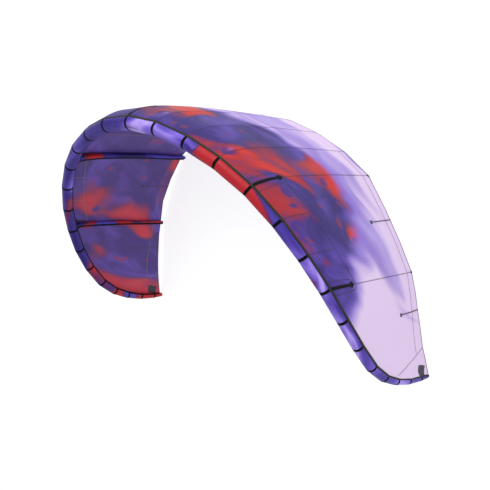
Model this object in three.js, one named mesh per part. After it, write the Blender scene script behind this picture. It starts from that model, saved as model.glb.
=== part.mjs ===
// Inflatable kite of nine square metres, standing on three strut ends and its two wing tips.
// Sizes in millimetres. X is the span. The tables give the right half in its flying attitude:
// x out along the span, y back along the chord, z up. standUp() then turns the kite to its rest.
import * as THREE from "three";

const clothThick = 2;
const gap = 0.3;
const tubeSides = 24;
const strutSides = 14;
const strutReach = 14;
const floorSlope = 0.07496;
const centreTrailY = 1672;
const centreTrailZ = 6;
const hoseRadius = 6;
// A hose ends this far behind the leading edge, at this angle round the strut from its top.
const hoseReach = 170;
const hoseSide = (112 * Math.PI) / 180;

// One row for each seam of the leading edge, from the middle of the kite to the tip.
// r: tube radius. sew: where the canopy is sewn on, degrees from the top of the tube, back is plus.
// tx, ty, tz: the trailing edge at the same row.
const stations = [
  { x: 0, y: 0, z: 0, r: 64, sew: -28, tx: 0, ty: 1672, tz: 6 },
  { x: 339, y: 6, z: -36, r: 63, sew: -22, tx: 356, ty: 1676, tz: -29 },
  { x: 660, y: 39, z: -134, r: 61.5, sew: -17, tx: 689, ty: 1684, tz: -138 },
  { x: 954, y: 95, z: -279, r: 59.5, sew: -14, tx: 1014, ty: 1694, tz: -300 },
  { x: 1216, y: 172, z: -474, r: 57, sew: -13, tx: 1279, ty: 1704, tz: -500 },
  { x: 1435, y: 262, z: -712, r: 55, sew: -12, tx: 1476, ty: 1697, tz: -784 },
  { x: 1607, y: 365, z: -972, r: 53.5, sew: -10, tx: 1640, ty: 1706, tz: -1068 },
  { x: 1730, y: 485, z: -1238, r: 52.5, sew: -6, tx: 1748, ty: 1751, tz: -1340 },
  { x: 1812, y: 614, z: -1496, r: 51.5, sew: -2, tx: 1794, ty: 1756, tz: -1520 },
  { x: 1861, y: 764, z: -1743, r: 50.5, sew: 6, tx: 1822, ty: 1765, tz: -1690 },
  { x: 1882, y: 940, z: -1965, r: 49, sew: 14, tx: 1846, ty: 1774, tz: -1815 },
  { x: 1890, y: 1122, z: -2110, r: 46, sew: 20, tx: 1863, ty: 1783, tz: -1930 },
  { x: 1894, y: 1312, z: -2204, r: 41.5, sew: 26, tx: 1878, ty: 1795, tz: -2042 },
  { x: 1897, y: 1518, z: -2270, r: 36, sew: 33, tx: 1895, ty: 1812, tz: -2130 },
  { x: 1900, y: 1724, z: -2310, r: 30, sew: 46, tx: 1909, ty: 1829, tz: -2218 },
  { x: 1904, y: 1846, z: -2325, r: 23, sew: 62, tx: 1922, ty: 1845, tz: -2301 },
];

// Height of the canopy over the chord line, as a share of the chord, at each share of the way back.
const camber = [
  { at: 0, rise: 0 },
  { at: 0.02, rise: 0.0175 },
  { at: 0.05, rise: 0.033 },
  { at: 0.1, rise: 0.0525 },
  { at: 0.17, rise: 0.0656 },
  { at: 0.25, rise: 0.0706 },
  { at: 0.35, rise: 0.069 },
  { at: 0.5, rise: 0.06 },
  { at: 0.65, rise: 0.045 },
  { at: 0.8, rise: 0.026 },
  { at: 0.9, rise: 0.0125 },
  { at: 1, rise: 0 },
];

// Struts lie under the seams of these rows. Radii at the front, a third of the way and the rear end.
// hoseOut: how far beside the strut its hose leaves the leading edge.
const struts = [
  { name: "centre", row: 0, front: 40, mid: 34, rear: 27, hoseOut: 105 },
  { name: "inner", row: 4, front: 39, mid: 32, rear: 26, hoseOut: 145 },
  { name: "outer", row: 7, front: 37, mid: 29, rear: 22, hoseOut: 105 },
];

// Canopy panels run between these rows, each cut as one length of cloth.
const panels = [
  { name: "first", from: 0, to: 1 },
  { name: "second", from: 1, to: 2 },
  { name: "third", from: 2, to: 3 },
  { name: "fourth", from: 3, to: 4 },
  { name: "wing", from: 4, to: 7 },
  { name: "tip", from: 7, to: 15 },
];

// Flat trims on the outer face: shares of the way back, and the half width at each.
const noseBar = [
  { at: 0, half: 13 },
  { at: 0.02, half: 13 },
  { at: 0.05, half: 13 },
  { at: 0.1, half: 12 },
  { at: 0.148, half: 11 },
  { at: 0.157, half: 22 },
  { at: 0.17, half: 24 },
  { at: 0.185, half: 8 },
];
// Each batten runs from a share of the way back to the trailing edge, and may cross the cloth slantwise.
const battens = [
  { name: "inner", frontRow: 5.38, rearRow: 5.34, front: 0.735 },
  { name: "outer", frontRow: 8.65, rearRow: 8.94, front: 0.64 },
];
const battenHalf = 5;
const battenHead = 13;
const trimLift = 0.6;
const tipPatchRows = [13.3, 13.65, 14, 14.35];
const tipPatchLift = 1;

const clothColour = 0x9a86c8;
const tubeColour = 0x5a3fa8;
const strutColour = 0x2a1f66;
const trimColour = 0x1c1c1e;

const add = (a, b, s = 1) => a.clone().addScaledVector(b, s);
const mix = (a, b, t) => a.clone().lerp(b, t);

const rows = stations.map((s) => ({
  centre: new THREE.Vector3(s.x, s.y, s.z),
  trail: new THREE.Vector3(s.tx, s.ty, s.tz),
  radius: s.r,
  sew: (s.sew * Math.PI) / 180,
}));

rows.forEach((row, k) => {
  const before = k > 0 ? rows[k - 1].centre : new THREE.Vector3(-rows[1].centre.x, rows[1].centre.y, rows[1].centre.z);
  const after = k < rows.length - 1 ? rows[k + 1].centre : row.centre;
  row.along = after.clone().sub(before).normalize();
  row.back = row.trail.clone().sub(row.centre);
  row.chord = row.back.length();
  row.back.normalize();
  const flat = new THREE.Vector3(-row.along.z, 0, row.along.x);
  row.up = flat.addScaledVector(row.back, -flat.dot(row.back)).normalize();
  row.side = new THREE.Vector3().crossVectors(row.back, row.up).normalize();
});
const last = rows[rows.length - 1];
last.back.copy(rows[14].back).multiplyScalar(0.25).add(last.back).normalize();
last.up.copy(rows[14].up).addScaledVector(last.back, -rows[14].up.dot(last.back)).normalize();

// Where the canopy is sewn: the way out from the tube's axis at a row.
rows.forEach((row) => {
  const top = row.up.clone().addScaledVector(row.along, -row.up.dot(row.along)).normalize();
  const rear = new THREE.Vector3().crossVectors(top, row.along).normalize();
  if (rear.dot(row.back) < 0) rear.negate();
  row.out = top.multiplyScalar(Math.cos(row.sew)).addScaledVector(rear, Math.sin(row.sew));
  row.start = add(row.centre, row.out, row.radius + gap + 0.3 + clothThick);
  row.startRise = row.start.clone().sub(row.centre).dot(row.up);
});

// The canopy's outer face at one step of the camber table, and its normal there.
function stepPoint(row, i) {
  const { at, rise } = camber[i];
  const lift = row.chord * rise - row.startRise * (1 - at - (1 - at) ** 5);
  return add(mix(row.start, row.trail, at), row.up, lift);
}

function stepNormal(row, i) {
  if (i === 0) return row.out.clone();
  const a = stepPoint(row, i - 1);
  const b = stepPoint(row, Math.min(i + 1, camber.length - 1));
  const line = b.sub(a).normalize();
  return row.up.clone().addScaledVector(line, -row.up.dot(line)).normalize();
}

// A point of the canopy at a row, on its outer face or below it by depth.
function rowPoint(row, share, depth) {
  let i = 0;
  while (i < camber.length - 2 && camber[i + 1].at < share) i += 1;
  const a = add(stepPoint(row, i), stepNormal(row, i), -depth);
  const b = add(stepPoint(row, i + 1), stepNormal(row, i + 1), -depth);
  return mix(a, b, (share - camber[i].at) / (camber[i + 1].at - camber[i].at));
}

// The same between rows, at any row number, on either half: minus is the left.
function canopyPoint(rowNumber, share, depth) {
  const k = Math.min(14, Math.floor(Math.abs(rowNumber)));
  const t = Math.abs(rowNumber) - k;
  const p = mix(rowPoint(rows[k], share, depth), rowPoint(rows[k + 1], share, depth), t);
  if (rowNumber < 0) p.x = -p.x;
  return p;
}

const floorNormal = new THREE.Vector3(0, 1, floorSlope).normalize();
const floorPoint = new THREE.Vector3(0, centreTrailY + strutReach, centreTrailZ);
const pitch = Math.PI / 2 + Math.atan(floorSlope);

function toFloor(p, direction) {
  const t = floorPoint.clone().sub(p).dot(floorNormal) / direction.dot(floorNormal);
  return add(p, direction, t);
}

// Turns the flying attitude to the rest: leading edge up, strut ends and tips on the floor.
const floorLift = -(-floorPoint.y * Math.sin(pitch) + floorPoint.z * Math.cos(pitch));
const middleY = 1181.5;
function standUp(p) {
  const y = p.y * Math.cos(pitch) + p.z * Math.sin(pitch);
  const z = -p.y * Math.sin(pitch) + p.z * Math.cos(pitch);
  return new THREE.Vector3(p.x, y + middleY, z + floorLift);
}

function solid(name, points, faces, colour, roughness) {
  const placed = points.map(standUp);
  let volume = 0;
  for (const [a, b, c] of faces) {
    volume += placed[a].dot(new THREE.Vector3().crossVectors(placed[b], placed[c]));
  }
  const index = faces.flatMap(([a, b, c]) => (volume > 0 ? [a, b, c] : [a, c, b]));
  const geometry = new THREE.BufferGeometry();
  geometry.setAttribute("position", new THREE.Float32BufferAttribute(placed.flatMap((p) => [p.x, p.y, p.z]), 3));
  geometry.setIndex(index);
  geometry.computeVertexNormals();
  const material = new THREE.MeshStandardMaterial({ color: colour, roughness, metalness: 0 });
  const mesh = new THREE.Mesh(geometry, material);
  mesh.name = name;
  return mesh;
}

// A closed tube through rings of the same number of points, with flat ends.
function tube(name, rings, colour, roughness) {
  const n = rings[0].length;
  const points = rings.flat();
  const faces = [];
  for (let i = 0; i + 1 < rings.length; i += 1) {
    for (let j = 0; j < n; j += 1) {
      const a = i * n + j;
      const b = i * n + ((j + 1) % n);
      faces.push([a, b, b + n], [a, b + n, a + n]);
    }
  }
  const endRow = (rings.length - 1) * n;
  for (let j = 1; j + 1 < n; j += 1) {
    faces.push([0, j + 1, j], [endRow, endRow + j, endRow + j + 1]);
  }
  return solid(name, points, faces, colour, roughness);
}

// A closed sheet between two grids of points of the same size.
function sheet(name, outer, inner, colour, roughness) {
  const nRows = outer.length;
  const nCols = outer[0].length;
  const points = [...outer.flat(), ...inner.flat()];
  const lower = nRows * nCols;
  const faces = [];
  for (let i = 0; i + 1 < nRows; i += 1) {
    for (let j = 0; j + 1 < nCols; j += 1) {
      const a = i * nCols + j;
      faces.push([a, a + 1, a + nCols + 1], [a, a + nCols + 1, a + nCols]);
      faces.push([a + lower, a + lower + nCols + 1, a + lower + 1]);
      faces.push([a + lower, a + lower + nCols, a + lower + nCols + 1]);
    }
  }
  const rim = [];
  for (let j = 0; j < nCols; j += 1) rim.push(j);
  for (let i = 1; i < nRows; i += 1) rim.push(i * nCols + nCols - 1);
  for (let j = nCols - 2; j >= 0; j -= 1) rim.push((nRows - 1) * nCols + j);
  for (let i = nRows - 2; i > 0; i -= 1) rim.push(i * nCols);
  rim.forEach((a, i) => {
    const b = rim[(i + 1) % rim.length];
    faces.push([a, a + lower, b + lower], [a, b + lower, b]);
  });
  return solid(name, points, faces, colour, roughness);
}

// A ring of the leading edge at a signed row, moved by shift along the tube.
function edgeRing(signedRow, shift) {
  const row = rows[Math.abs(signedRow)];
  const mirror = signedRow < 0 ? -1 : 1;
  const centre = row.centre.clone().multiply(new THREE.Vector3(mirror, 1, 1));
  const along = row.along.clone().multiply(new THREE.Vector3(1, mirror, mirror));
  const u = row.up.clone().multiply(new THREE.Vector3(mirror, 1, 1));
  u.addScaledVector(along, -u.dot(along)).normalize();
  const v = new THREE.Vector3().crossVectors(along, u).normalize();
  const ring = [];
  for (let j = 0; j < tubeSides; j += 1) {
    const angle = (2 * Math.PI * j) / tubeSides;
    const p = add(add(centre, u, row.radius * Math.cos(angle)), v, row.radius * Math.sin(angle));
    ring.push(add(p, along, shift));
  }
  return ring;
}

function tipRings(sideSign) {
  const row = last;
  const before = rows[14].centre;
  const along = row.centre.clone().sub(before).normalize();
  const scale = new THREE.Vector3(sideSign, 1, 1);
  const u = row.up.clone().addScaledVector(along, -row.up.dot(along)).normalize();
  const v = new THREE.Vector3().crossVectors(along, u).normalize();
  return [0.97, 0.85].map((size, i) =>
    Array.from({ length: tubeSides }, (_, j) => {
      const angle = (2 * Math.PI * j) / tubeSides;
      const r = row.radius * size;
      const p = add(add(row.centre, u, r * Math.cos(angle)), v, r * Math.sin(angle));
      const q = i === 0 ? add(p, along, 7) : toFloor(p, along);
      return q.multiply(scale);
    })
  );
}

function leadingEdge() {
  const group = [];
  for (let from = -15; from < 15; from += 2) {
    const to = from + 2;
    const rings = [edgeRing(from, gap / 2), edgeRing(from + 1, 0), edgeRing(to, -gap / 2)];
    if (from === -15) {
      rings[0] = edgeRing(from, 0);
      rings.unshift(...tipRings(-1).reverse());
    }
    if (to === 15) {
      rings[2] = edgeRing(to, 0);
      rings.push(...tipRings(1));
    }
    const number = (from + 15) / 2 + 1;
    group.push(tube(`leading_edge_${String(number).padStart(2, "0")}`, rings, tubeColour, 0.35));
  }
  return group;
}

// Moves p straight back until it leaves the leading edge tube beside a row, with the gap and some spare.
function clearOfEdge(rowNumber, p, spare) {
  const row = rows[rowNumber];
  const clear = row.radius + gap + spare;
  const mirrored = rows[1].centre.clone().multiply(new THREE.Vector3(-1, 1, 1));
  const before = rowNumber > 0 ? rows[rowNumber - 1].centre : mirrored;
  const ways = [row.centre.clone().sub(before), rows[rowNumber + 1].centre.clone().sub(row.centre)];
  const reaches = ways.map((way) => {
    way.normalize();
    const across = row.back.clone().addScaledVector(way, -row.back.dot(way));
    const from = p.clone().sub(row.centre);
    from.addScaledVector(way, -from.dot(way));
    const a = across.lengthSq();
    const b = from.dot(across);
    const inside = b * b - a * (from.lengthSq() - clear * clear);
    return inside > 0 ? (-b + Math.sqrt(inside)) / a : -b / a;
  });
  return add(p, row.back, Math.max(...reaches));
}

// The strut hugs the leading edge tube at its front and stays just under the canopy.
const strutSteps = [0, 0.06, 0.12, 0.2, 0.3, 0.42, 0.55, 0.7, 0.85, 1];

function strutLine(spec) {
  const row = rows[spec.row];
  const firstD = row.radius * 0.9;
  const lastD = row.chord - 10;
  const radiusAt = (d) => {
    const t = d / row.chord;
    if (t < 0.33) return spec.front + ((spec.mid - spec.front) * t) / 0.33;
    return spec.mid + ((spec.rear - spec.mid) * (t - 0.33)) / 0.67;
  };
  const ceiling = (d, w) => {
    const inward = rows[Math.max(0, spec.row - 1)].centre.distanceTo(rows[Math.max(1, spec.row)].centre);
    const outward = rows[spec.row].centre.distanceTo(rows[spec.row + 1].centre);
    const number = spec.row + w / (w < 0 ? inward : outward);
    const line = camber.map(({ at }) => {
      const p = canopyPoint(number, at, clothThick);
      if (number < 0) p.x = -Math.abs(p.x);
      p.sub(row.centre);
      return { d: p.dot(row.back), u: p.dot(row.up) };
    });
    let k = 0;
    while (k < line.length - 2 && line[k + 1].d < d) k += 1;
    const t = Math.min(1, Math.max(0, (d - line[k].d) / (line[k + 1].d - line[k].d)));
    return line[k].u + (line[k + 1].u - line[k].u) * t - 0.7;
  };
  const slopeAt = (d) => (ceiling(d + 12, 0) - ceiling(d - 12, 0)) / 24;
  const middle = (d) => ceiling(d, 0) - radiusAt(d) * Math.hypot(1, slopeAt(d));
  return { row, firstD, lastD, radiusAt, ceiling, slopeAt, middle };
}

function strut(spec, sideSign) {
  const { row, firstD, lastD, radiusAt, ceiling, slopeAt, middle } = strutLine(spec);
  const scale = new THREE.Vector3(sideSign, 1, 1);
  const place = (d, u, w) => add(add(add(row.centre, row.back, d), row.up, u), row.side, w);
  const angles = Array.from({ length: strutSides }, (_, j) => (2 * Math.PI * j) / strutSides);
  const rings = [];
  // The front face lies on the leading edge tube, under the canopy.
  for (const size of [0.15, 0.45, 0.75, 1]) {
    rings.push(
      angles.map((angle) => {
        const h = radiusAt(firstD) * size * Math.cos(angle);
        const w = radiusAt(firstD) * size * Math.sin(angle);
        let u = middle(firstD) + h;
        let p = clearOfEdge(spec.row, place(0, u, w), 1.3);
        for (let turn = 0; turn < 8; turn += 1) {
          u = Math.min(u, ceiling(p.clone().sub(row.centre).dot(row.back), w) - 4 * (1 - size));
          p = clearOfEdge(spec.row, place(0, u, w), 1.3);
        }
        return p;
      })
    );
  }
  strutSteps.slice(1).forEach((step) => {
    const d = firstD + (lastD - firstD) * step;
    const r = radiusAt(d);
    const tilt = Math.atan(slopeAt(d));
    rings.push(
      angles.map((angle) => {
        const w = r * Math.sin(angle);
        const at = d - r * Math.cos(angle) * Math.sin(tilt);
        const u = middle(d) + r * Math.cos(angle) * Math.cos(tilt);
        return place(at, Math.min(u, ceiling(at, w)), w);
      })
    );
  });
  // Rounded rear end, flat where it stands on the floor.
  const r = radiusAt(row.chord);
  const endU = ceiling(row.chord, 0) - r;
  for (const size of [0.93, 0.72]) {
    rings.push(
      angles.map((angle) => {
        const p = place(row.chord + 4, endU + r * size * Math.cos(angle), r * size * Math.sin(angle));
        if (size > 0.9) return p;
        return spec.row < 7 ? toFloor(p, row.back) : add(p, row.back, 12);
      })
    );
  }
  rings.forEach((ring) => ring.forEach((p) => p.multiply(scale)));
  const side = spec.row === 0 ? "" : sideSign > 0 ? "_right" : "_left";
  return tube(`strut_${spec.name}${side}`, rings, strutColour, 0.4);
}

function canopyPanel(spec, sideSign) {
  const from = rows[spec.from].centre.distanceTo(rows[spec.from + 1].centre);
  const to = rows[spec.to].centre.distanceTo(rows[spec.to - 1].centre);
  const numbers = [spec.from + (gap * 0.55) / from];
  for (let k = spec.from + 1; k < spec.to; k += 1) numbers.push(k);
  if (spec.to === 15) numbers.push(14.35, 14.7);
  numbers.push(spec.to - (spec.to === 15 ? 0 : (gap * 0.55) / to));
  const grid = (depth) =>
    numbers.map((number) => camber.map(({ at }) => canopyPoint(sideSign * number, at, depth)));
  const side = sideSign > 0 ? "right" : "left";
  return sheet(`canopy_${spec.name}_${side}`, grid(0), grid(clothThick), clothColour, 0.6);
}

// A flat trim on the outer face. Each line gives its row, the share of the way back and the half width.
function trim(name, sideSign, lines, thick, lift) {
  const spacing = (k, share) => rowPoint(rows[k], share, 0).distanceTo(rowPoint(rows[k + 1], share, 0));
  const grid = (depth) =>
    lines.map(({ row, at, half }) =>
      [-1, 0, 1].map((s) => canopyPoint(sideSign * row + (s * half) / spacing(Math.floor(row), at), at, depth))
    );
  return sheet(name, grid(-lift - thick), grid(-lift), trimColour, 0.7);
}

// The patch for the rear line, on the outer face at the wing tip.
function tipPatch(side, sideSign) {
  const shares = camber.map(({ at }) => at).filter((at) => at > 0.06 && at < 0.6);
  const grid = (depth) => shares.map((at) => tipPatchRows.map((n) => canopyPoint(n * sideSign, at, depth)));
  return sheet(`tip_patch_${side}`, grid(-tipPatchLift - 1.5), grid(-tipPatchLift), trimColour, 0.7);
}

// A short hose from the leading edge to the side of a strut, on the side of the kite's middle.
function hose(spec, sideSign) {
  const { row, radiusAt, middle } = strutLine(spec);
  const scale = new THREE.Vector3(sideSign, 1, 1);
  const inward = rows[Math.max(1, spec.row - 1)];
  const share = spec.hoseOut / inward.centre.distanceTo(row.centre);
  const hoseSpare = 0.1 + (inward.radius - row.radius) * share;
  const endD = row.radius + hoseReach;
  const endW = (radiusAt(endD) + hoseRadius) * Math.sin(hoseSide);
  const endU = middle(endD) + (radiusAt(endD) + hoseRadius) * Math.cos(hoseSide);
  const place = (d, u, w) => add(add(add(row.centre, row.back, d), row.up, u), row.side, w);
  const first = clearOfEdge(spec.row, place(0, -row.radius * 0.25, -spec.hoseOut), hoseSpare);
  const path = [
    add(first, row.back, 8),
    add(first, row.back, 24),
    place(row.radius + hoseReach / 2, (endU - row.radius * 0.25) / 2 - 10, -spec.hoseOut * 0.8),
    place(endD - 28, endU - 6, -endW - 10),
    place(endD, endU, -endW),
  ];
  const curve = new THREE.CatmullRomCurve3(path);
  const rings = [];
  for (let i = 0; i <= 10; i += 1) {
    const centre = curve.getPointAt(i / 10);
    const along = i === 0 ? row.back : curve.getTangentAt(i / 10);
    const u = row.up.clone().addScaledVector(along, -row.up.dot(along)).normalize();
    const v = new THREE.Vector3().crossVectors(along, u);
    rings.push(
      Array.from({ length: 8 }, (_, j) => {
        const angle = (2 * Math.PI * j) / 8;
        const p = add(add(centre, u, hoseRadius * Math.cos(angle)), v, hoseRadius * Math.sin(angle));
        return p;
      })
    );
  }
  rings.unshift(rings[0].map((p) => clearOfEdge(spec.row, add(p, row.back, -60), hoseSpare)));
  rings.forEach((ring) => ring.forEach((p) => p.multiply(scale)));
  const side = spec.row === 0 ? "" : sideSign > 0 ? "_right" : "_left";
  return tube(`hose_${spec.name}${side}`, rings, trimColour, 0.5);
}

function build() {
  const group = new THREE.Group();
  group.name = "kite";
  const put = (mesh) => group.add(mesh);
  leadingEdge().forEach(put);
  for (const sideSign of [-1, 1]) {
    for (const spec of panels) put(canopyPanel(spec, sideSign));
    for (const spec of struts) {
      if (spec.row === 0 && sideSign < 0) continue;
      put(strut(spec, sideSign));
      put(hose(spec, sideSign));
      const side = spec.row === 0 ? "" : sideSign > 0 ? "_right" : "_left";
      const bar = noseBar.map((line) => ({ row: spec.row, ...line }));
      put(trim(`nose_bar_${spec.name}${side}`, sideSign, bar, 2, trimLift));
    }
    const side = sideSign > 0 ? "right" : "left";
    for (const spec of battens) {
      const span = 1 - spec.front;
      const steps = [spec.front, spec.front + 0.018, spec.front + 0.021, 0.8, 0.9, 0.996];
      const lines = steps
        .filter((at, i) => i < 3 || at > spec.front + 0.03)
        .map((at, i) => ({
          row: spec.frontRow + ((spec.rearRow - spec.frontRow) * (at - spec.front)) / span,
          at,
          half: i < 2 ? battenHead : battenHalf,
        }));
      put(trim(`batten_${spec.name}_${side}`, sideSign, lines, 3, trimLift));
    }
    put(tipPatch(side, sideSign));
  }
  return group;
}

export default build();
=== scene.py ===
import bpy
from math import atan, cos, floor, pi, radians, sin
from mathutils import Matrix, Vector


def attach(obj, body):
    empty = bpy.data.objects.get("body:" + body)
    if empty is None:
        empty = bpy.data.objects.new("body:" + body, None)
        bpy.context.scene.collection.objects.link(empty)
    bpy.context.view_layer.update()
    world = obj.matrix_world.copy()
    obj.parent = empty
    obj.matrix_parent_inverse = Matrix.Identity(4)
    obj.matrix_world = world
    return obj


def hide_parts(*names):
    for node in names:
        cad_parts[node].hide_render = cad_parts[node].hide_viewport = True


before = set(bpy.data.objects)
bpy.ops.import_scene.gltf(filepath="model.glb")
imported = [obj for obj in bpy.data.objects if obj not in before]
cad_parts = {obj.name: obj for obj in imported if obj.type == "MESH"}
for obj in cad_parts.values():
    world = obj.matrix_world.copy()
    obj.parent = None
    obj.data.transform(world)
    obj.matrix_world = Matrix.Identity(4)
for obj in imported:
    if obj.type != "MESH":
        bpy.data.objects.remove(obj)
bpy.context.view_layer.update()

# camera: the photograph's view of the kite, seen from in front of the open side and above
photoView = {
    "place": (4.965824, 1.821224, 5.485705),
    "right": (0.7312, -0.0510, -0.6803),
    "up": (-0.1534, 0.9594, -0.2368),
    "lens": 52.898,
    "shiftX": -0.01006,
    "shiftY": 0.00194,
}

cameraData = bpy.data.cameras.new("photoCamera")
camera = bpy.data.objects.new("photoCamera", cameraData)
bpy.context.scene.collection.objects.link(camera)
right = Vector(photoView["right"]).normalized()
back = right.cross(Vector(photoView["up"])).normalized()
up = back.cross(right)
turn = Matrix((right, up, back)).transposed().to_4x4()
camera.matrix_world = Matrix.Translation(photoView["place"]) @ turn
cameraData.sensor_width = 36
cameraData.lens = photoView["lens"]
cameraData.shift_x = photoView["shiftX"]
cameraData.shift_y = photoView["shiftY"]
cameraData.clip_end = 200
bpy.context.scene.camera = camera
print("camera placed")

# the kite's lines, in metres, in its flying attitude: x out, y back along the chord, z up
# One row for each seam of the leading edge, from the middle to the tip: x, y, z of the tube's axis,
# its radius, the sewing angle from its top in degrees (back is plus), and the trailing edge's x, y, z.
stations = [
    (0.000, 0.000, 0.000, 0.0640, -28, 0.000, 1.672, 0.006),
    (0.339, 0.006, -0.036, 0.0630, -22, 0.356, 1.676, -0.029),
    (0.660, 0.039, -0.134, 0.0615, -17, 0.689, 1.684, -0.138),
    (0.954, 0.095, -0.279, 0.0595, -14, 1.014, 1.694, -0.300),
    (1.216, 0.172, -0.474, 0.0570, -13, 1.279, 1.704, -0.500),
    (1.435, 0.262, -0.712, 0.0550, -12, 1.476, 1.697, -0.784),
    (1.607, 0.365, -0.972, 0.0535, -10, 1.640, 1.706, -1.068),
    (1.730, 0.485, -1.238, 0.0525, -6, 1.748, 1.751, -1.340),
    (1.812, 0.614, -1.496, 0.0515, -2, 1.794, 1.756, -1.520),
    (1.861, 0.764, -1.743, 0.0505, 6, 1.822, 1.765, -1.690),
    (1.882, 0.940, -1.965, 0.0490, 14, 1.846, 1.774, -1.815),
    (1.890, 1.122, -2.110, 0.0460, 20, 1.863, 1.783, -1.930),
    (1.894, 1.312, -2.204, 0.0415, 26, 1.878, 1.795, -2.042),
    (1.897, 1.518, -2.270, 0.0360, 33, 1.895, 1.812, -2.130),
    (1.900, 1.724, -2.310, 0.0300, 46, 1.909, 1.829, -2.218),
    (1.904, 1.846, -2.325, 0.0230, 62, 1.922, 1.845, -2.301),
]

# Height of the canopy over the chord line as a share of the chord, at each share of the way back.
camber = [
    (0, 0), (0.02, 0.0175), (0.05, 0.033), (0.1, 0.0525), (0.17, 0.0656), (0.25, 0.0706),
    (0.35, 0.069), (0.5, 0.06), (0.65, 0.045), (0.8, 0.026), (0.9, 0.0125), (1, 0),
]

shape = {
    "floorSlope": 0.07496,     # the floor's lean against the trailing edge plane
    "trailY": 1.672,           # the middle of the trailing edge
    "trailZ": 0.006,
    "strutReach": 0.014,       # how far the middle strut stands out behind the trailing edge
    "middleY": 1.1815,         # brings the middle of the whole box to zero
    "swell": 0.0016,           # of each length of the leading edge, between its seams
    "probeRows": 0.012,        # half the step that the cloth's slope is measured over, across
    "probeShare": 0.004,       # and down the chord
    "clothOver": 0.0026,       # the canopy's outer face over the tube, where it is sewn on
    "cloth": 0.0012,
    "crease": 0.06,            # how far a seam's crease reaches into a panel, as a share of its width
}

tip = len(stations) - 1     # number of the last row; the left half's rows count down to -tip
pitch = pi / 2 + atan(shape["floorSlope"])
footY = shape["trailY"] + shape["strutReach"]
floorLift = footY * sin(pitch) - shape["trailZ"] * cos(pitch)
floorNormal = Vector((0, 1, shape["floorSlope"])).normalized()
floorPoint = Vector((0, footY, shape["trailZ"]))


def toFloor(p, way):
    # from the point along the way until it meets the floor
    return p + way * ((floorPoint - p).dot(floorNormal) / way.dot(floorNormal))


def standUp(p):
    # flying attitude to the way it stands: leading edge up, strut ends and tips on the floor
    y = p.y * cos(pitch) + p.z * sin(pitch)
    z = -p.y * sin(pitch) + p.z * cos(pitch)
    return Vector((p.x, y + shape["middleY"], z + floorLift))


def square(v, line):
    return (v - line * v.dot(line)).normalized()


def mirrored(v, number):
    # rows of the left half have negative numbers
    return Vector((-v.x, v.y, v.z)) if number < 0 else v


rows = []
for x, y, z, r, sew, tx, ty, tz in stations:
    row = {"centre": Vector((x, y, z)), "trail": Vector((tx, ty, tz)), "radius": r, "sew": radians(sew)}
    rows.append(row)
for k, row in enumerate(rows):
    before = rows[k - 1]["centre"] if k else mirrored(rows[1]["centre"], -1)
    after = rows[k + 1]["centre"] if k < tip else row["centre"]
    row["along"] = (after - before).normalized()
    row["chord"] = (row["trail"] - row["centre"]).length
    row["back"] = (row["trail"] - row["centre"]).normalized()
    row["up"] = square(Vector((-row["along"].z, 0, row["along"].x)), row["back"])
lastRow, nextToLast = rows[tip], rows[tip - 1]
lastRow["back"] = (nextToLast["back"] * 0.25 + lastRow["back"]).normalized()
lastRow["up"] = square(nextToLast["up"], lastRow["back"])
for row in rows:
    row["side"] = row["back"].cross(row["up"]).normalized()
    row["top"] = square(row["up"], row["along"])
    row["front"] = row["along"].cross(row["top"]).normalized()
    row["out"] = row["top"] * cos(row["sew"]) - row["front"] * sin(row["sew"])
    row["start"] = row["centre"] + row["out"] * (row["radius"] + shape["clothOver"])
    row["startRise"] = (row["start"] - row["centre"]).dot(row["up"])


def riseAt(share):
    # a smooth curve through the camber table
    i = 0
    while i < len(camber) - 2 and camber[i + 1][0] < share:
        i += 1
    a, b = camber[i], camber[i + 1]

    def slope(j):
        low = camber[max(0, j - 1)]
        high = camber[min(len(camber) - 1, j + 1)]
        return (high[1] - low[1]) / (high[0] - low[0])

    w = b[0] - a[0]
    t = (share - a[0]) / w
    first = a[1] * (1 + 2 * t) * (1 - t) ** 2 + slope(i) * w * t * (1 - t) ** 2
    return first + b[1] * t * t * (3 - 2 * t) - slope(i + 1) * w * t * t * (1 - t)


def between(table, value):
    # straight lines through a table of pairs
    i = 0
    while i < len(table) - 2 and table[i + 1][0] < value:
        i += 1
    t = min(1, max(0, (value - table[i][0]) / (table[i + 1][0] - table[i][0])))
    return table[i][1] * (1 - t) + table[i + 1][1] * t


def rowBefore(n):
    # the row that n lies on or beyond, and how far beyond it
    k = max(-tip, min(tip - 1, floor(n)))
    return k, n - k


def acrossSpan(end, perRow):
    # even steps of the row number, from -end on the left to end on the right
    steps = 2 * tip * perRow
    return [-end + 2 * end * i / steps for i in range(steps + 1)]


rowCache = {}


def rowPoint(number, share):
    # a point of the canopy's outer face on a seam row, on either half
    key = (number, round(share, 7))
    if key not in rowCache:
        row = rows[abs(number)]
        lift = row["chord"] * riseAt(share) - row["startRise"] * (1 - share - (1 - share) ** 5)
        rowCache[key] = mirrored(row["start"].lerp(row["trail"], share) + row["up"] * lift, number)
    return rowCache[key]


def canopyPoint(n, share):
    # between rows the cloth runs straight, and turns in a soft crease at each seam
    k, t = rowBefore(n)
    p = rowPoint(k, share).lerp(rowPoint(k + 1, share), t)
    w = shape["crease"]
    near = k if t < 0.5 else k + 1
    d = n - near
    if abs(d) < w and -tip < near < tip:
        ahead = rowPoint(near + 1, share) - rowPoint(near, share)
        behind = rowPoint(near - 1, share) - rowPoint(near, share)
        p = rowPoint(near, share) + ahead * ((w + d) ** 2 / (4 * w)) + behind * ((w - d) ** 2 / (4 * w))
    return p


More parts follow.
